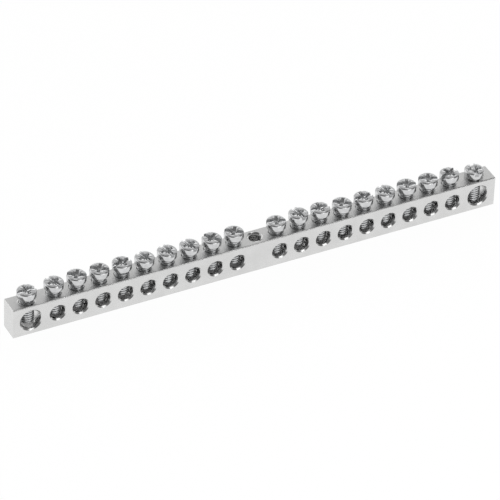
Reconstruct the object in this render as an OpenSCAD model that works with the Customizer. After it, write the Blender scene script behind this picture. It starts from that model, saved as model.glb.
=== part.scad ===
// Earth terminal bar: a plated brass bar, cross-drilled for a row of wires, with a clamp
// screw standing in a tapped hole over each wire bore and a tapped fixing hole in the middle.
// Lengths are in millimetres. The origin is the middle of the underside. X runs along the
// bar, the wires enter along Y, and the screws stand on the top face, along Z.

/* [Bar] */
// Height of the bar, from the underside to the face that the screws stand on
bar_h = 9; // [8:0.1:14]
// Depth of the bar, along the wires
bar_w = 6; // [5.6:0.1:12]
// Radius on the four long edges
edge_r = 0.3; // [0.1:0.05:0.8]
// Bar left beyond the axis of each end way
end_margin = 5.1; // [4:0.1:12]

/* [Ways] */
// Small ways on each side of the fixing hole
side_ways = 9; // [1:1:9]
// Spacing of the small ways
way_pitch = 6.5; // [6:0.1:12]
// Spacing from the last small way to the end way
end_pitch = 7.65; // [6.8:0.05:14]
// Spacing of the two small ways that stand beside the fixing hole
fixing_gap = 12.5; // [11:0.5:30]
// Diameter of a small way's wire bore
wire_d = 4.2; // [3.6:0.1:4.6]
// Diameter of an end way's wire bore
end_wire_d = 5.8; // [4.2:0.1:6.4]
// Height of the wire bores' axes above the underside
wire_z = 4.5; // [4.2:0.1:5]
// Width of the chamfer round the mouths of the wire bores
mouth_cut = 0.35; // [0.1:0.05:0.5]

/* [Tapped holes] */
// Height of the floor of the screw holes, where their full width ends
tap_floor = 1; // [0.8:0.1:2]
// Depth of the drill point below that floor
tap_point = 0.6; // [0.2:0.1:0.7]
// Diameter of the fixing hole's thread
fixing_d = 4; // [3:0.5:6]
// Width across the countersink of a small way and of the fixing hole, beyond the hole
rim_cut = 0.3; // [0.1:0.05:0.8]
// Depth of that countersink
rim_depth = 0.15; // [0.05:0.05:0.4]
// Width across the countersink of an end way, beyond the hole
end_rim_cut = 1.5; // [0.3:0.1:1.8]
// Depth of the countersink of an end way
end_rim_depth = 0.4; // [0.1:0.05:0.6]

/* [Clamp screws] */
// Outer diameter of the screw thread
screw_d = 3.9; // [3:0.1:4.9]
// Clearance between the screw thread and its hole, all round
screw_play = 0.05; // [0.02:0.01:0.1]
// Gap under the tip when the head is screwed down on to the bar
tip_gap = 0.2; // [0.1:0.05:1]
// Width of the chamfer round the tip
tip_cut = 0.45; // [0.1:0.05:1]
// Usual height of an open screw's head above the bar
open_lift = 1.6; // [1.3:0.05:3]

/* [Screw heads] */
// Diameter of the head
head_d = 5.3; // [5:0.1:5.8]
// Height of the head
head_h = 2.1; // [1.9:0.1:3]
// Width of the chamfer round the head's top edge
head_edge_cut = 0.25; // [0.05:0.05:0.4]
// Width of the chamfer under the head
head_cut = 0.3; // [0.05:0.05:0.5]
// Diameter of the groove between the head and the thread
neck_d = 3.2; // [2.5:0.1:3.8]
// Height of that groove
neck_h = 0.4; // [0.1:0.05:0.8]
// Width of the slot across the head
slot_w = 1.15; // [0.8:0.05:1.4]
// Depth of the slot
slot_depth = 0.85; // [0.4:0.05:1.2]
// Reach of the cross recess at the top of the head, tip to tip
cross_d = 3.8; // [3:0.1:4.4]
// Reach of the cross recess at its foot, tip to tip
cross_foot_d = 2.8; // [1.4:0.1:3]
// Width of the cross recess's wings
cross_w = 0.9; // [0.6:0.05:1.2]
// Depth of the cross recess's wings
cross_depth = 1; // [0.6:0.05:1.5]
// Diameter of the round heart of the cross recess at the top of the head
heart_d = 2.2; // [1.4:0.1:2.8]
// Depth of that heart
heart_depth = 1.5; // [1:0.1:1.8]

/* [Hidden] */
half_ways = side_ways + 1;
way_count = 2 * half_ways;
end_x = fixing_gap / 2 + (side_ways - 1) * way_pitch + end_pitch;
bar_l = 2 * (end_x + end_margin);
screw_hole_d = screw_d + 2 * screw_play;
shank_l = bar_h - tap_floor - tip_gap;
arc_steps = 4;      // straight steps in a rounded edge
over = 0.5;         // how far a cut runs past the face that it opens
$fn = 64;

// Each screw is left open at its own height and turned its own way, way 1 first.
lift_change = [
    -0.35, 0.05, 0.25, 0.15, 0.25, -0.15, 0, -0.1, 0.05, 0.15,
    -0.25, 0.4, 0.15, -0.2, -0.15, -0.1, 0, -0.05, -0.15, -1.25
];
slot_turn = [
    5, 107, 147, 145, 13, 108, 100, 100, 127, 145,
    158, 98, 3, 143, 6, 98, 157, 155, 24, 80
];

function is_end(way) = way == 0 || way == way_count - 1;
function side_x(step) =
    step == side_ways ? end_x : fixing_gap / 2 + step * way_pitch;
function way_x(way) =
    way < half_ways ? -side_x(half_ways - 1 - way) : side_x(way - half_ways);
function screw_lift(way) = open_lift + lift_change[way % len(lift_change)];
function screw_name(way) = str("clamp_screw_", way < 9 ? "0" : "", way + 1);

// Points along a quarter circle about [cx, cy], from one angle to 90 degrees further.
function quarter(cx, cy, r, from) = [
    for (step = [0 : arc_steps])
        let (a = from + 90 * step / arc_steps) [cx + r * cos(a), cy + r * sin(a)]
];

// The section of the drawn bar: a rectangle standing on the Y axis, with rounded corners.
function bar_section() = let (x = bar_w / 2 - edge_r, top = bar_h - edge_r) concat(
    quarter(x, top, edge_r, 0),
    quarter(-x, top, edge_r, 90),
    quarter(-x, edge_r, edge_r, 180),
    quarter(x, edge_r, edge_r, 270)
);

// A wire bore along Y, centred on the bar, with a small chamfer at each mouth.
module wire_bore(d) {
    rotate([90, 0, 0]) {
        cylinder(d = d, h = bar_w + 2 * over, center = true);
        for (side = [0, 1]) mirror([0, 0, side])
            translate([0, 0, bar_w / 2 - mouth_cut])
                cylinder(r1 = d / 2, r2 = d / 2 + mouth_cut + over, h = mouth_cut + over);
    }
}

// A countersink that opens upwards at z = 0 and is wider than its hole by extra.
module countersink(d, extra, depth) {
    slope = extra / 2 / depth;
    translate([0, 0, -depth])
        cylinder(r1 = d / 2, r2 = d / 2 + slope * (depth + over), h = depth + over);
}

// The tapped hole of a clamp screw: through the top wall and the wire bore, and on into
// the wall below as a blind hole that ends in the drill's point.
module screw_hole(extra, depth) {
    translate([0, 0, tap_floor])
        cylinder(d = screw_hole_d, h = bar_h - tap_floor + over);
    translate([0, 0, tap_floor - tap_point])
        cylinder(d1 = 0, d2 = screw_hole_d, h = tap_point);
    translate([0, 0, bar_h]) countersink(screw_hole_d, extra, depth);
}

// The tapped hole in the middle, right through, that fixes the bar to its carrier.
module fixing_hole() {
    translate([0, 0, -over]) cylinder(d = fixing_d, h = bar_h + 2 * over);
    translate([0, 0, bar_h]) countersink(fixing_d, rim_cut, rim_depth);
    mirror([0, 0, 1]) countersink(fixing_d, rim_cut, rim_depth);
}

module bar() {
    color([0.80, 0.80, 0.79])
    difference() {
        rotate([90, 0, 90])
            linear_extrude(bar_l, center = true) polygon(bar_section());
        for (way = [0 : way_count - 1]) translate([way_x(way), 0, 0]) {
            translate([0, 0, wire_z]) wire_bore(is_end(way) ? end_wire_d : wire_d);
            if (is_end(way)) screw_hole(end_rim_cut, end_rim_depth);
            else screw_hole(rim_cut, rim_depth);
        }
        fixing_hole();
    }
}

// Half the section of a screw, from its axis outwards, with the underside of the head at
// z = 0: the chamfers over and under the head's rim, the neck, and the tip.
function screw_section() = let (head_r = head_d / 2, shank_r = screw_d / 2) concat(
    [[0, -shank_l], [shank_r - tip_cut, -shank_l], [shank_r, tip_cut - shank_l]],
    [[shank_r, -neck_h - (screw_d - neck_d) / 2], [neck_d / 2, -neck_h], [neck_d / 2, 0]],
    [[head_r - head_cut, 0], [head_r, head_cut]],
    [[head_r, head_h - head_edge_cut], [head_r - head_edge_cut, head_h]],
    [[0, head_h]]
);

// The recess in the head takes either driver: a slot right across, and a cross whose
// wings lean inwards to their flat foot around a deeper tapered heart.
module head_recess() {
    foot = head_h - cross_depth;
    slope = (cross_d - cross_foot_d) / 2 / cross_depth;
    top_reach = cross_d / 2 + slope * over;
    translate([-head_d / 2 - over, -slot_w / 2, head_h - slot_depth])
        cube([head_d + 2 * over, slot_w, slot_depth + over]);
    for (turn = [0, 90]) rotate([90, 0, turn])
        linear_extrude(cross_w, center = true) polygon([
            [-cross_foot_d / 2, foot], [cross_foot_d / 2, foot],
            [top_reach, head_h + over], [-top_reach, head_h + over]
        ]);
    translate([0, 0, head_h - heart_depth])
        cylinder(d1 = cross_w, d2 = heart_d, h = heart_depth);
}

module clamp_screw(way) {
    color([0.72, 0.73, 0.74])
    translate([way_x(way), 0, bar_h + screw_lift(way)])
        rotate(slot_turn[way % len(slot_turn)]) difference() {
            rotate_extrude() polygon(screw_section());
            head_recess();
        }
}

bar();
for (way = [0 : way_count - 1])
    clamp_screw(way);
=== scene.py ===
"""Earth terminal bar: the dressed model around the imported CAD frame."""
import math

import bmesh
import bpy
import numpy as np
from mathutils import Matrix, Vector


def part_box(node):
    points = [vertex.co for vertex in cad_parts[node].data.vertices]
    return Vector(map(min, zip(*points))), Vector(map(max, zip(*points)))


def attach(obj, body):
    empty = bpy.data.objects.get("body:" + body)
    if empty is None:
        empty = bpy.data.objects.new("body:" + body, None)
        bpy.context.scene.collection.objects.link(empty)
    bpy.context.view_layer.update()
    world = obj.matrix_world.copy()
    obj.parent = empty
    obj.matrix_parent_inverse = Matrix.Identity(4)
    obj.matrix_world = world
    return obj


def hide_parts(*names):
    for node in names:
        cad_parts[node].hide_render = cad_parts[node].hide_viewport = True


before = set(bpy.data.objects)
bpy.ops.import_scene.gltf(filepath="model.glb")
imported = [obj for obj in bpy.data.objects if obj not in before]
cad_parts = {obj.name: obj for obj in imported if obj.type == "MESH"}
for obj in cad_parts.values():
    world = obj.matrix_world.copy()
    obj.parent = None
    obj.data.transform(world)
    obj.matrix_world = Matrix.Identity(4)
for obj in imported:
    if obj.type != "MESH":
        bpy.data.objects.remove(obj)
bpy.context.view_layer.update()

MM = 0.001
SCREWS = sorted(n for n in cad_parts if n.startswith("clamp_screw_"))

# The camera, fitted to the photograph: degrees, metres and millimetres of lens
CAM_AZIMUTH, CAM_ELEVATION, CAM_ROLL = 27.848, 37.418, 2.247
CAM_DISTANCE, CAM_SHIFT_X, CAM_SHIFT_Y = 1.19688, -0.000959, 0.003661
CAM_LENS, CAM_SENSOR = 325.224, 36.0
CAM_NEAR, CAM_FAR = 0.05, 20

# Sizes of the bar, in millimetres, as in the CAD but for the bevel at its ends
EDGE_R = 0.3
WIRE_D, END_WIRE_D, WIRE_Z = 4.2, 5.8, 4.5
WAY_PITCH, END_PITCH, FIXING_GAP = 6.5, 7.65, 12.5
SIDE_WAYS = 9
MOUTH_CUT = 0.35
TAP_R, TAP_FLOOR, TAP_POINT = 2.0, 1.0, 0.6
RIM_CUT, RIM_DEPTH = 0.3, 0.15
END_RIM_CUT, END_RIM_DEPTH = 1.5, 0.4
END_BEVEL = 0.08

# The M4 threads, which the CAD has as plain cylinders
PITCH = 0.7
CREST_END, ROOT_START, ROOT_END, CREST_START = 0.19, 0.36, 0.64, 0.81   # shares of the pitch
TAP_CREST_R, TAP_ROOT_R = 1.97, 2.22        # in the screw holes, clear of the sliding screws
TAP_FOOT_RUN, TAP_TOP_RUN = 0.3, 0.2        # over which the root widens from the plain hole
FIX_CREST_R, FIX_ROOT_R = 1.68, 2.0         # in the fixing hole
SCREW_CREST_R, SCREW_ROOT_R = 1.93, 1.55

# Sizes of a screw, in millimetres, from the underside of its head, as in the CAD but for
# the neck, which is shorter, so that the thread runs up to the head as in the photograph
HEAD_R, HEAD_H, HEAD_EDGE_CUT, HEAD_CUT = 2.65, 2.1, 0.25, 0.3
NECK_R, NECK_H, NECK_RUN = 1.6, 0.12, 0.25
UNDER_ROUND = 0.06      # the small breaks under the head
TIP_CUT = 0.45
SLOT_W, SLOT_DEPTH = 1.15, 0.85
SLOT_FOOT_CUT, SLOT_FLARE = 0.12, 0.05
CROSS_R, CROSS_FOOT_R, CROSS_W, CROSS_DEPTH = 1.9, 1.4, 0.9, 1.0
HEART_R, HEART_DEPTH, HEART_POINT = 1.1, 1.5, 0.1
MARK_R0, MARK_R1, MARK_DEPTH = 0.9, 2.05, 0.24
SLOT_TURN = [5, 107, 147, 145, 13, 108, 100, 100, 127, 145,
             158, 98, 3, 143, 6, 98, 157, 155, 24, 80]

# The round on the recess's edges: its width, the sharpest edges only, and where they lie
SOFT_WIDTH, SOFT_STEPS, SOFT_DEG = 0.05, 2, 35
SOFT_BELOW_CROSS, SOFT_LOWEST, SOFT_PAST_HEAD = 0.3, 0.35, 0.01

# Light of the studio against height above the horizon, 0 to 1, behind the object and in front
BACK_SKY = [(0.0, 0.30), (0.20, 0.80), (0.38, 1.5), (0.50, 0.75), (0.85, 0.38), (1.0, 0.30)]
FRONT_SKY = [(0.0, 0.20), (0.40, 0.18), (0.75, 0.10), (1.0, 0.30)]
SKY_SCALE = 2.0                     # keeps the ramps' colours below 1
SKY_TURN = -0.25, 0.45              # over which the front gives way to the back, along Y
FLOOR_HALF, FLOOR_Z = 1.5, -0.00002
FLOOR_SHADE, FLOOR_GLOW = 0.9, 1.05
FLOOR_CAMERA_SHARE, FLOOR_GLOSSY_SHARE = 0.92, 0.8
BOX_AT, BOX_SIZE, BOX_POWER = (0.11, -0.43, 0.40), (0.40, 0.18), 0.42

# Materials: noise scales are per metre and bump distances in metres
MIDDLE, WIDE = (0.35, 0.65), (0.3, 0.7)     # parts of a noise's range that are spread out
FACING_UP = 0.9, 0.99
PLATE_SHADES = (0.74, 0.74, 0.735, 1), (0.80, 0.80, 0.795, 1)
PLATE_LINE_SHADE, PLATE_LINE_SHARE = (0.66, 0.66, 0.66, 1), 0.25
PLATE_LINES, PLATE_LINE_STRETCH = 9000, (0.06, 1, 1)
PLATE_GRAIN, PLATE_MOTTLE = 6000, 260
PLATE_ROUGH, PLATE_LINE_ROUGH, PLATE_TOP_ROUGH = (0.20, 0.28), (-0.03, 0.04), 0.14
PLATE_LINE_HEIGHT, PLATE_GRAIN_HEIGHT = 0.6, 0.5
PLATE_BUMP = 0.12, 0.00005
ZINC_SHADES = (0.63, 0.635, 0.64, 1), (0.74, 0.745, 0.75, 1)
ZINC_MOTTLE, ZINC_DENTS = 900, 2000
ZINC_MARKS, ZINC_MARK_STRETCH, ZINC_MARK_HEIGHT = 3500, (1, 1, 3), 0.5
ZINC_ROUGH, ZINC_THREAD_ROUGH, ZINC_RIM_ROUGH = (0.10, 0.22), 0.08, 0.14
ZINC_THREAD_Z, ZINC_RIM_Z = (-0.0001, -0.0003), (0.0018, 0.0019)
ZINC_RIM_TILT = (0.60, 0.65), (0.80, 0.76)  # upward share of the rim's normals, in and out
ZINC_FINE_BUMP, ZINC_DENT_BUMP = (0.15, 0.00006), (0.35, 0.00012)

COLUMNS = 64            # facets round a screw and a tapped hole
BORE_COLUMNS = 96       # facets round a wire bore
ARC_STEPS = 5           # straight steps in the bar's rounded edges
OVER = 0.5              # how far a cut runs past the face that it opens
MERGE, LAST_MERGE, TINY = 1e-4, 2e-4, 1e-5
SHARP_DEG = 32          # edges sharper than this stay sharp
SEAM_AREA, SEAM_CORNERS, SEAM_PLAY, FLAT = 40, 12, 0.01, 0.999   # tell a seam of two cells


# ---------------------------------------------------------------- camera

def make_camera():
    az, el, roll = (math.radians(a) for a in (CAM_AZIMUTH, CAM_ELEVATION, CAM_ROLL))
    d = Vector((math.sin(az) * math.cos(el), math.cos(az) * math.cos(el), -math.sin(el)))
    r = Vector((math.cos(az), -math.sin(az), 0))
    u = r.cross(d)
    r2 = r * math.cos(roll) + u * math.sin(roll)
    u2 = u * math.cos(roll) - r * math.sin(roll)
    at = r2 * CAM_SHIFT_X + u2 * CAM_SHIFT_Y - d * CAM_DISTANCE
    data = bpy.data.cameras.new("camera")
    data.sensor_width, data.lens = CAM_SENSOR, CAM_LENS
    data.clip_start, data.clip_end = CAM_NEAR, CAM_FAR
    cam = bpy.data.objects.new("camera", data)
    cam.matrix_world = Matrix((
        (r2.x, u2.x, -d.x, at.x), (r2.y, u2.y, -d.y, at.y),
        (r2.z, u2.z, -d.z, at.z), (0, 0, 0, 1)))
    bpy.context.scene.collection.objects.link(cam)
    bpy.context.scene.camera = cam


# ---------------------------------------------------------------- mesh helpers, in millimetres

def mesh_from(name, verts, faces):
    mesh = bpy.data.meshes.new(name)
    mesh.from_pydata([tuple(v) for v in verts], [], faces)
    bm = bmesh.new()
    bm.from_mesh(mesh)
    bmesh.ops.remove_doubles(bm, verts=bm.verts, dist=MERGE)
    bmesh.ops.dissolve_degenerate(bm, dist=TINY, edges=bm.edges)
    bmesh.ops.recalc_face_normals(bm, faces=bm.faces)
    bm.to_mesh(mesh)
    bm.free()
    return mesh


def subtract(mesh, *cutters):
    """mesh with each cutter mesh taken away from it, one after the other."""
    obj = bpy.data.objects.new("work", mesh)
    bpy.context.scene.collection.objects.link(obj)
    for cutter in cutters:
        tool = bpy.data.objects.new("tool", cutter)
        bpy.context.scene.collection.objects.link(tool)
        mod = obj.modifiers.new("cut", "BOOLEAN")
        mod.operation, mod.solver, mod.object = "DIFFERENCE", "EXACT", tool
        bpy.context.view_layer.update()
        done = bpy.data.meshes.new_from_object(
            obj.evaluated_get(bpy.context.evaluated_depsgraph_get()))
        obj.modifiers.clear()
        obj.data = done
        bpy.data.objects.remove(tool)
    bpy.data.objects.remove(obj)
    return done


def ring(r, z, columns):
    return [(r * math.cos(2 * math.pi * i / columns), r * math.sin(2 * math.pi * i / columns), z)
            for i in range(columns)]


def lathe(section, columns):
    """Vertices and faces of a surface turned about Z from (r, z) points; r 0 closes it."""
    verts, faces = [], []
    for r, z in section:
        verts += ring(r, z, columns)
    for j in range(len(section) - 1):
        for i in range(columns):
            k = (i + 1) % columns
            faces.append((j * columns + i, j * columns + k,
                          (j + 1) * columns + k, (j + 1) * columns + i))
    return verts, faces


def helix(profile, pitch, z0, z1, columns, limit):
    """A threaded wall between z0 and z1. profile is (share of the pitch, r) points over one
    turn; limit(z) is the radius that the wall may not pass."""
    count = len(profile)
    turns = int((z1 - z0) / pitch) + 4
    rows = count * turns
    verts, faces = [], []
    for i in range(columns):
        a = 2 * math.pi * i / columns
        for j in range(rows):
            share, r = profile[j % count]
            z = z0 + pitch * (j // count - 2 + i / columns + share)
            r = min(r, limit(z))
            if z <= z0:
                z, r = z0, limit(z0)
            elif z >= z1:
                z, r = z1, limit(z1)
            verts.append((r * math.cos(a), r * math.sin(a), z))
    for i in range(columns):
        k, shift = (i + 1, 0) if i + 1 < columns else (0, count)
        for j in range(rows - 1 - shift):
            faces.append((i * rows + j, k * rows + j + shift,
                          k * rows + j + shift + 1, i * rows + j + 1))
    return verts, faces


def joined(*parts):
    verts, faces = [], []
    for v, f in parts:
        base = len(verts)
        verts += v
        faces += [tuple(base + i for i in face) for face in f]
    return verts, faces


def outline(points):
    """The radius at any z on a broken line of (r, z) points, which rise in z."""
    zs, rs = [z for r, z in points], [r for r, z in points]
    return lambda z: float(np.interp(z, zs, rs))


def thread_profile(crest_r, root_r):
    """One turn of a rolled thread with a broad crest, as (share of the pitch, r)."""
    return [(0.0, crest_r), (CREST_END, crest_r), (ROOT_START, root_r), (ROOT_END, root_r),
            (CREST_START, crest_r)]


def finish_mesh(mesh):
    """Smooth shading with sharp edges above an angle, and the mesh turned into metres."""
    bm = bmesh.new()
    bm.from_mesh(mesh)
    bmesh.ops.remove_doubles(bm, verts=bm.verts, dist=LAST_MERGE)
    bmesh.ops.dissolve_degenerate(bm, dist=TINY, edges=bm.edges)
    limit = math.radians(SHARP_DEG)
    for edge in bm.edges:
        edge.smooth = len(edge.link_faces) == 2 and edge.calc_face_angle(math.pi) < limit
    for face in bm.faces:
        face.smooth = True
    bmesh.ops.scale(bm, vec=(MM, MM, MM), verts=bm.verts)
    bm.to_mesh(mesh)
    bm.free()
    return mesh


def add_object(name, mesh, material):
    mesh.materials.clear()
    mesh.materials.append(material)
    obj = bpy.data.objects.new(name, mesh)
    bpy.context.scene.collection.objects.link(obj)
    mod = obj.modifiers.new("weights", "WEIGHTED_NORMAL")
    mod.keep_sharp = True
    return obj


# ---------------------------------------------------------------- the bar

def bar_profile(inset):
    """The bar's section as (y, z) points, drawn in by inset all round."""
    lo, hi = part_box("bar")
    w, h = (hi.y - lo.y) / MM / 2 - inset, (hi.z - lo.z) / MM - inset
    r = EDGE_R - inset
    corners = [(w - r, h - r, 0), (r - w, h - r, 90),
               (r - w, inset + r, 180), (w - r, inset + r, 270)]
    points = []
    for y, z, start in corners:
        for k in range(ARC_STEPS + 1):
            a = math.radians(start + 90 * k / ARC_STEPS)
            points.append((y + r * math.cos(a), z + r * math.sin(a)))
    return points


def bar_cell(x0, x1, end=0):
    """A length of the bare bar; end is -1 or 1 where x0 or x1 is the bar's own end."""
    rings = [(x0, 0.0), (x1, 0.0)]
    if end < 0:
        rings = [(x0, END_BEVEL), (x0 + END_BEVEL, 0.0), (x1, 0.0)]
    if end > 0:
        rings = [(x0, 0.0), (x1 - END_BEVEL, 0.0), (x1, END_BEVEL)]
    verts, faces = [], []
    for x, inset in rings:
        verts += [(x, y, z) for y, z in bar_profile(inset)]
    n = len(verts) // len(rings)
    for j in range(len(rings) - 1):
        for i in range(n):
            k = (i + 1) % n
            faces.append((j * n + i, j * n + k, (j + 1) * n + k, (j + 1) * n + i))
    faces += [tuple(range(n)), tuple(range((len(rings) - 1) * n, len(rings) * n))]
    return mesh_from("cell", verts, faces)


def bore_cutter(d, half_w):
    """A wire bore along Y with a chamfer at each mouth."""
    r, y = d / 2, half_w
    out = MOUTH_CUT + OVER
    section = [(0, -y - OVER), (r + out, -y - OVER), (r, -y + MOUTH_CUT),
               (r, y - MOUTH_CUT), (r + out, y + OVER), (0, y + OVER)]
    verts, faces = lathe(section, BORE_COLUMNS)
    return mesh_from("bore", [(x, -z, WIRE_Z + y) for x, y, z in verts], faces)


def tap_cutter(bar_h, rim_cut, rim_depth):
    """A blind threaded hole that ends in the drill's point."""
    top = bar_h - rim_depth
    slope = rim_cut / 2 / rim_depth
    limit = outline([(TAP_R, TAP_FLOOR), (TAP_ROOT_R, TAP_FLOOR + TAP_FOOT_RUN),
                     (TAP_ROOT_R, top - TAP_TOP_RUN), (TAP_R, top)])
    wall = helix(thread_profile(TAP_ROOT_R, TAP_CREST_R), PITCH, TAP_FLOOR, top, COLUMNS, limit)
    foot = lathe([(0, TAP_FLOOR - TAP_POINT), (TAP_R, TAP_FLOOR)], COLUMNS)
    head = lathe([(TAP_R, top), (TAP_R + slope * (rim_depth + OVER), bar_h + OVER),
                  (0, bar_h + OVER)], COLUMNS)
    return mesh_from("tap", *joined(foot, wall, head))


def fixing_cutter(bar_h):
    """A threaded hole right through, countersunk at both ends."""
    low, top = RIM_DEPTH, bar_h - RIM_DEPTH
    limit = outline([(FIX_ROOT_R, low), (FIX_ROOT_R, top)])
    wall = helix(thread_profile(FIX_ROOT_R, FIX_CREST_R), PITCH, low, top, COLUMNS, limit)
    out = FIX_ROOT_R + RIM_CUT / 2 + OVER
    foot = lathe([(0, -OVER), (out, -OVER), (FIX_ROOT_R, low)], COLUMNS)
    head = lathe([(FIX_ROOT_R, top), (out, bar_h + OVER), (0, bar_h + OVER)], COLUMNS)
    return mesh_from("fixing", *joined(foot, wall, head))


def moved(mesh, x):
    copy = mesh.copy()
    copy.transform(Matrix.Translation((x, 0, 0)))
    return copy


def make_bar(material):
    """The bar, cut in short cells, one for each kind of way, that are then joined."""
    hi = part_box("bar")[1]
    half_l, half_w, bar_h = hi.x / MM, hi.y / MM, hi.z / MM
    half_pitch = WAY_PITCH / 2
    last_x = FIXING_GAP / 2 + (SIDE_WAYS - 1) * WAY_PITCH
    end_x = last_x + END_PITCH
    inner, outer = last_x + half_pitch - end_x, half_l - end_x
    small = subtract(bar_cell(-half_pitch, half_pitch), bore_cutter(WIRE_D, half_w),
                     tap_cutter(bar_h, RIM_CUT, RIM_DEPTH))
    cutters = [bore_cutter(END_WIRE_D, half_w), tap_cutter(bar_h, END_RIM_CUT, END_RIM_DEPTH)]
    right = subtract(bar_cell(inner, outer, 1), *cutters)
    left = subtract(bar_cell(-outer, -inner, -1), *cutters)
    middle_w = FIXING_GAP / 2 - half_pitch
    middle = subtract(bar_cell(-middle_w, middle_w), fixing_cutter(bar_h))
    pieces = [moved(left, -end_x), middle, moved(right, end_x)]
    for k in range(SIDE_WAYS):
        x = FIXING_GAP / 2 + k * WAY_PITCH
        pieces += [moved(small, -x), moved(small, x)]
    bm = bmesh.new()
    for piece in pieces:
        bm.from_mesh(piece)
    seams = [f for f in bm.faces if abs(f.normal.x) > FLAT and len(f.verts) > SEAM_CORNERS
             and abs(abs(f.calc_center_median().x) - half_l) > SEAM_PLAY
             and f.calc_area() > SEAM_AREA]
    bmesh.ops.delete(bm, geom=seams, context="FACES")
    bmesh.ops.remove_doubles(bm, verts=bm.verts, dist=LAST_MERGE)
    mesh = bpy.data.meshes.new("terminal_bar")
    bm.to_mesh(mesh)
    bm.free()
    return add_object("terminal_bar", finish_mesh(mesh), material)


# ---------------------------------------------------------------- the screws

def slab(half_w, points):
    """A prism along Y of (x, z) points, from -half_w to half_w."""
    n = len(points)
    verts = [(x, y, z) for y in (-half_w, half_w) for x, z in points]
    faces = [tuple(range(n)), tuple(range(n, 2 * n))]
    faces += [(i, (i + 1) % n, n + (i + 1) % n, n + i) for i in range(n)]
    return verts, faces


def turned(mesh, degrees):
    copy = mesh.copy()
    copy.transform(Matrix.Rotation(math.radians(degrees), 4, "Z"))
    return copy


def wing_cutter(reach, foot_reach, width, depth):
    foot, slope = HEAD_H - depth, (reach - foot_reach) / depth
    top = reach + slope * OVER
    return mesh_from("wing", *slab(width / 2, [
        (-foot_reach, foot), (foot_reach, foot), (top, HEAD_H + OVER), (-top, HEAD_H + OVER)]))


def mark_cutter(r0, r1, depth):
    """A radial V groove that runs out at r1: the marks between the wings of the cross."""
    verts = []
    for r, deep in ((r0, depth), (r1, 0)):
        verts += [(r, -deep - OVER, HEAD_H + OVER), (r, deep + OVER, HEAD_H + OVER),
                  (r, 0, HEAD_H - deep)]
    return mesh_from("mark", verts, [
        (0, 1, 2), (5, 4, 3), (0, 3, 4, 1), (1, 4, 5, 2), (2, 5, 3, 0)])


def recess_cutters():
    """The marks, the slot, the cross's two wings and its heart. The marks go first: cut
    last, they leave loose patches over the slot."""
    w, far, cut = SLOT_W / 2, HEAD_R + OVER, SLOT_FOOT_CUT
    floor = HEAD_H - SLOT_DEPTH
    verts, faces = slab(far, [(-w + cut, floor), (w - cut, floor), (w, floor + cut),
                              (w + SLOT_FLARE, HEAD_H + OVER), (-w - SLOT_FLARE, HEAD_H + OVER),
                              (-w, floor + cut)])
    slot = turned(mesh_from("slot", verts, faces), 90)
    wing = wing_cutter(CROSS_R, CROSS_FOOT_R, CROSS_W, CROSS_DEPTH)
    grow = (HEART_R - CROSS_W / 2) / HEART_DEPTH
    heart = mesh_from("heart", *lathe([
        (0, HEAD_H - HEART_DEPTH - HEART_POINT), (CROSS_W / 2, HEAD_H - HEART_DEPTH),
        (HEART_R + grow * OVER, HEAD_H + OVER), (0, HEAD_H + OVER)], COLUMNS))
    mark = mark_cutter(MARK_R0, MARK_R1, MARK_DEPTH)
    return [turned(mark, 45 + 90 * k) for k in range(4)] + [slot, wing, turned(wing, 90), heart]


def screw_blank(shank_l):
    """The screw before its recess is struck, with the underside of the head at z = 0."""
    tip_r = SCREW_CREST_R - TIP_CUT
    neck_foot = -NECK_H - NECK_RUN
    limit = outline([(tip_r, -shank_l), (SCREW_CREST_R, TIP_CUT - shank_l),
                     (SCREW_CREST_R, neck_foot), (NECK_R, -NECK_H)])
    tip = lathe([(0, -shank_l), (tip_r, -shank_l)], COLUMNS)
    wall = helix(thread_profile(SCREW_CREST_R, SCREW_ROOT_R), PITCH, -shank_l, -NECK_H,
                 COLUMNS, limit)
    edge = [(HEAD_R, HEAD_H - HEAD_EDGE_CUT), (HEAD_R - HEAD_EDGE_CUT, HEAD_H)]
    small = UNDER_ROUND
    head = lathe([(NECK_R, -NECK_H), (NECK_R, -small), (NECK_R + small, 0),
                  (HEAD_R - HEAD_CUT, 0), (HEAD_R - small, HEAD_CUT - small),
                  (HEAD_R, HEAD_CUT + small)] + edge + [(0, HEAD_H)], COLUMNS)
    return mesh_from("blank", *joined(tip, wall, head))


def soften_recess(mesh):
    """A small round on the edges of the recess and the head's top, as cold forming leaves."""
    bm = bmesh.new()
    bm.from_mesh(mesh)
    bmesh.ops.remove_doubles(bm, verts=bm.verts, dist=LAST_MERGE)
    edges = [e for e in bm.edges if e.is_manifold and e.calc_face_angle(0) > math.radians(SOFT_DEG)
             and min(v.co.z for v in e.verts) > HEAD_H - CROSS_DEPTH - SOFT_BELOW_CROSS
             and max(Vector(v.co[:2]).length for v in e.verts) < HEAD_R + SOFT_PAST_HEAD
             and min(v.co.z for v in e.verts) > SOFT_LOWEST]
    bmesh.ops.bevel(bm, geom=edges, offset=SOFT_WIDTH, segments=SOFT_STEPS, profile=0.5,
                    affect="EDGES", clamp_overlap=True)
    bm.to_mesh(mesh)
    bm.free()
    return mesh


def make_screws(material):
    lo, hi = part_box(SCREWS[0])
    shank_l = (hi.z - lo.z) / MM - HEAD_H
    blank = subtract(screw_blank(shank_l), *recess_cutters())
    mesh = finish_mesh(soften_recess(blank))
    for name, turn in zip(SCREWS, SLOT_TURN):
        lo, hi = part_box(name)
        screw = add_object("screw_" + name[-2:], mesh, material)
        screw.location = ((lo.x + hi.x) / 2, (lo.y + hi.y) / 2, hi.z - HEAD_H * MM)
        screw.rotation_euler = (0, 0, math.radians(turn))
        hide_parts(name)
        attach(screw, name)


# ---------------------------------------------------------------- materials

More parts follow.
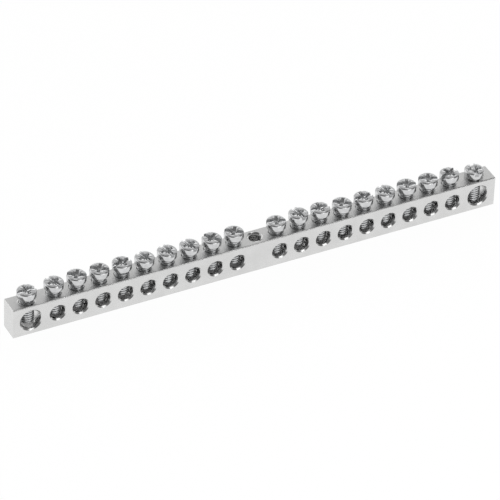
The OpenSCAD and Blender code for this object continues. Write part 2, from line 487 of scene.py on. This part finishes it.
class Nodes:
    """Short calls for the nodes of one material or world."""

    def __init__(self, owner):
        owner.use_nodes = True
        self.tree = owner.node_tree
        self.tree.nodes.clear()

    def add(self, kind, **settings):
        node = self.tree.nodes.new(kind)
        for key, value in settings.items():
            setattr(node, key, value)
        return node

    def link(self, source, target):
        self.tree.links.new(source, target)

    def put(self, node, socket, value):
        self.fill(node.inputs[socket], value)

    def fill(self, socket, value):
        if isinstance(value, bpy.types.NodeSocket):
            self.link(value, socket)
        else:
            socket.default_value = value

    def math(self, operation, a, b, clamp=False):
        node = self.add("ShaderNodeMath", operation=operation, use_clamp=clamp)
        for i, v in enumerate((a, b)):
            self.put(node, i, v)
        return node.outputs[0]

    def mapping(self, vector, scale):
        node = self.add("ShaderNodeMapping")
        self.put(node, "Vector", vector)
        self.put(node, "Scale", scale)
        return node.outputs[0]

    def noise(self, vector, scale, detail):
        node = self.add("ShaderNodeTexNoise")
        self.put(node, "Vector", vector)
        self.put(node, "Scale", scale)
        self.put(node, "Detail", detail)
        return node.outputs["Fac"]

    def ranged(self, value, a0, a1, b0, b1):
        node = self.add("ShaderNodeMapRange")
        for i, v in enumerate((value, a0, a1, b0, b1)):
            self.put(node, i, v)
        return node.outputs[0]

    def mix(self, factor, a, b):
        node = self.add("ShaderNodeMix", data_type="RGBA")
        for key, v in (("Factor", factor), ("A", a), ("B", b)):
            sock = [s for s in node.inputs if s.name == key
                    and s.type == ("VALUE" if key == "Factor" else "RGBA")][0]
            self.fill(sock, v)
        return [s for s in node.outputs if s.type == "RGBA"][0]

    def part(self, vector, axis):
        """The share of a vector along one axis, 0 to 2."""
        node = self.add("ShaderNodeSeparateXYZ")
        self.put(node, 0, vector)
        return node.outputs[axis]

    def bump(self, height, strength, distance, normal=None):
        node = self.add("ShaderNodeBump")
        self.put(node, "Height", height)
        self.put(node, "Strength", strength)
        self.put(node, "Distance", distance)
        if normal is not None:
            self.put(node, "Normal", normal)
        return node.outputs[0]


def metal(name, make):
    mat = bpy.data.materials.new(name)
    n = Nodes(mat)
    out = n.add("ShaderNodeOutputMaterial")
    bsdf = n.add("ShaderNodeBsdfPrincipled")
    bsdf.inputs["Metallic"].default_value = 1.0
    n.link(bsdf.outputs[0], out.inputs[0])
    coords = n.add("ShaderNodeTexCoord").outputs["Object"]
    color, rough, normal = make(n, coords)
    n.put(bsdf, "Base Color", color)
    n.put(bsdf, "Roughness", rough)
    n.put(bsdf, "Normal", normal)
    return mat


def plated(n, coords):
    """Nickel plate on drawn brass: fine grain, faint lines along the bar, soft mottling."""
    lines = n.noise(n.mapping(coords, PLATE_LINE_STRETCH), PLATE_LINES, 3)
    grain = n.noise(coords, PLATE_GRAIN, 2)
    mottle = n.noise(coords, PLATE_MOTTLE, 4)
    color = n.mix(n.ranged(mottle, *MIDDLE, 0, 1), *PLATE_SHADES)
    color = n.mix(n.ranged(lines, *MIDDLE, 0, PLATE_LINE_SHARE), color, PLATE_LINE_SHADE)
    rough = n.math("ADD", n.ranged(mottle, *WIDE, *PLATE_ROUGH),
                   n.ranged(lines, *WIDE, *PLATE_LINE_ROUGH))
    height = n.math("ADD", n.math("MULTIPLY", lines, PLATE_LINE_HEIGHT),
                    n.math("MULTIPLY", grain, PLATE_GRAIN_HEIGHT))
    upward = n.part(n.add("ShaderNodeTexCoord").outputs["Normal"], 2)
    rough = n.math("ADD", rough, n.ranged(upward, *FACING_UP, 0, PLATE_TOP_ROUGH))
    return color, rough, n.bump(height, *PLATE_BUMP)


def zinc(n, coords):
    """Bright zinc on a cold-formed screw: glossy, with handling marks and a dimpled top,
    and duller on the thread and on the rim of the head."""
    mottle = n.noise(coords, ZINC_MOTTLE, 4)
    marks = n.noise(n.mapping(coords, ZINC_MARK_STRETCH), ZINC_MARKS, 3)
    color = n.mix(n.ranged(mottle, *MIDDLE, 0, 1), *ZINC_SHADES)
    rough = n.ranged(marks, *WIDE, *ZINC_ROUGH)
    fine = n.bump(n.math("ADD", mottle, n.math("MULTIPLY", marks, ZINC_MARK_HEIGHT)),
                  *ZINC_FINE_BUMP)
    upward = n.part(n.add("ShaderNodeTexCoord").outputs["Normal"], 2)
    height = n.part(coords, 2)
    dents = n.math("MULTIPLY", n.noise(coords, ZINC_DENTS, 2), n.ranged(upward, *FACING_UP, 0, 1))
    thread = n.ranged(height, *ZINC_THREAD_Z, 0, ZINC_THREAD_ROUGH)
    tilt_in, tilt_out = ZINC_RIM_TILT
    rim = n.math("MULTIPLY", n.ranged(height, *ZINC_RIM_Z, 0, ZINC_RIM_ROUGH),
                 n.math("MULTIPLY", n.ranged(upward, *tilt_in, 0, 1),
                        n.ranged(upward, *tilt_out, 0, 1)))
    rough = n.math("ADD", rough, n.math("ADD", thread, rim))
    return color, rough, n.bump(dents, *ZINC_DENT_BUMP, fine)


# ---------------------------------------------------------------- stage and light

def ramp(n, value, stops):
    """A grey curve through (position, level) stops, divided by SKY_SCALE."""
    node = n.add("ShaderNodeValToRGB")
    n.put(node, 0, value)
    elements = node.color_ramp.elements
    while len(elements) < len(stops):
        elements.new(0.5)
    for element, (pos, level) in zip(elements, stops):
        element.position, element.color = pos, (level / SKY_SCALE,) * 3 + (1,)
    return node.outputs[0]


def make_world():
    """A studio that is bright behind the object and unlit on the camera's side."""
    world = bpy.data.worlds.new("studio")
    bpy.context.scene.world = world
    n = Nodes(world)
    out = n.add("ShaderNodeOutputWorld")
    direction = n.add("ShaderNodeTexCoord").outputs["Generated"]
    height = n.part(direction, 2)
    behind = n.add("ShaderNodeMapRange", interpolation_type="SMOOTHSTEP")
    for i, v in enumerate((n.part(direction, 1), *SKY_TURN, 0.0, 1.0)):
        n.put(behind, i, v)
    level = n.mix(behind.outputs[0], ramp(n, height, FRONT_SKY), ramp(n, height, BACK_SKY))
    back = n.add("ShaderNodeBackground")
    n.put(back, "Color", level)
    n.put(back, "Strength", SKY_SCALE)
    white = n.add("ShaderNodeBackground")
    n.put(white, "Color", (1, 1, 1, 1))
    n.put(white, "Strength", 1.0)
    path = n.add("ShaderNodeLightPath")
    mix = n.add("ShaderNodeMixShader")
    n.put(mix, 0, path.outputs["Is Camera Ray"])
    n.link(back.outputs[0], mix.inputs[1])
    n.link(white.outputs[0], mix.inputs[2])
    n.link(mix.outputs[0], out.inputs[0])


def make_floor():
    """A pale floor that shows white to the camera and in reflections."""
    half = FLOOR_HALF
    mesh = bpy.data.meshes.new("floor")
    mesh.from_pydata([(-half, -half, 0), (half, -half, 0), (half, half, 0), (-half, half, 0)],
                     [], [(0, 1, 2, 3)])
    mat = bpy.data.materials.new("floor")
    n = Nodes(mat)
    out = n.add("ShaderNodeOutputMaterial")
    diffuse = n.add("ShaderNodeBsdfDiffuse")
    n.put(diffuse, 0, (FLOOR_SHADE,) * 3 + (1,))
    glow = n.add("ShaderNodeEmission")
    n.put(glow, 0, (1, 1, 1, 1))
    n.put(glow, 1, FLOOR_GLOW)
    path = n.add("ShaderNodeLightPath")
    seen = n.math("MULTIPLY", path.outputs["Is Camera Ray"], FLOOR_CAMERA_SHARE)
    mirrored = n.math("MULTIPLY", path.outputs["Is Glossy Ray"], FLOOR_GLOSSY_SHARE)
    share = n.math("ADD", seen, mirrored, clamp=True)
    mix = n.add("ShaderNodeMixShader")
    n.put(mix, 0, share)
    n.link(diffuse.outputs[0], mix.inputs[1])
    n.link(glow.outputs[0], mix.inputs[2])
    n.link(mix.outputs[0], out.inputs[0])
    mesh.materials.append(mat)
    obj = bpy.data.objects.new("floor", mesh)
    obj.location.z = FLOOR_Z
    bpy.context.scene.collection.objects.link(obj)


def area_light(name, at, size, power):
    """A soft box that looks at the origin."""
    data = bpy.data.lights.new(name, "AREA")
    data.shape, data.size, data.size_y, data.energy = "RECTANGLE", size[0], size[1], power
    obj = bpy.data.objects.new(name, data)
    obj.location = at
    obj.rotation_euler = (-Vector(at)).to_track_quat("-Z", "Y").to_euler()
    bpy.context.scene.collection.objects.link(obj)


make_camera()
make_world()
make_floor()
area_light("front_box", BOX_AT, BOX_SIZE, BOX_POWER)
bpy.context.scene.view_settings.view_transform = "Standard"

plate = metal("plated_brass", plated)
bar = make_bar(plate)
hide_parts("bar")
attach(bar, "bar")
make_screws(metal("zinc_steel", zinc))
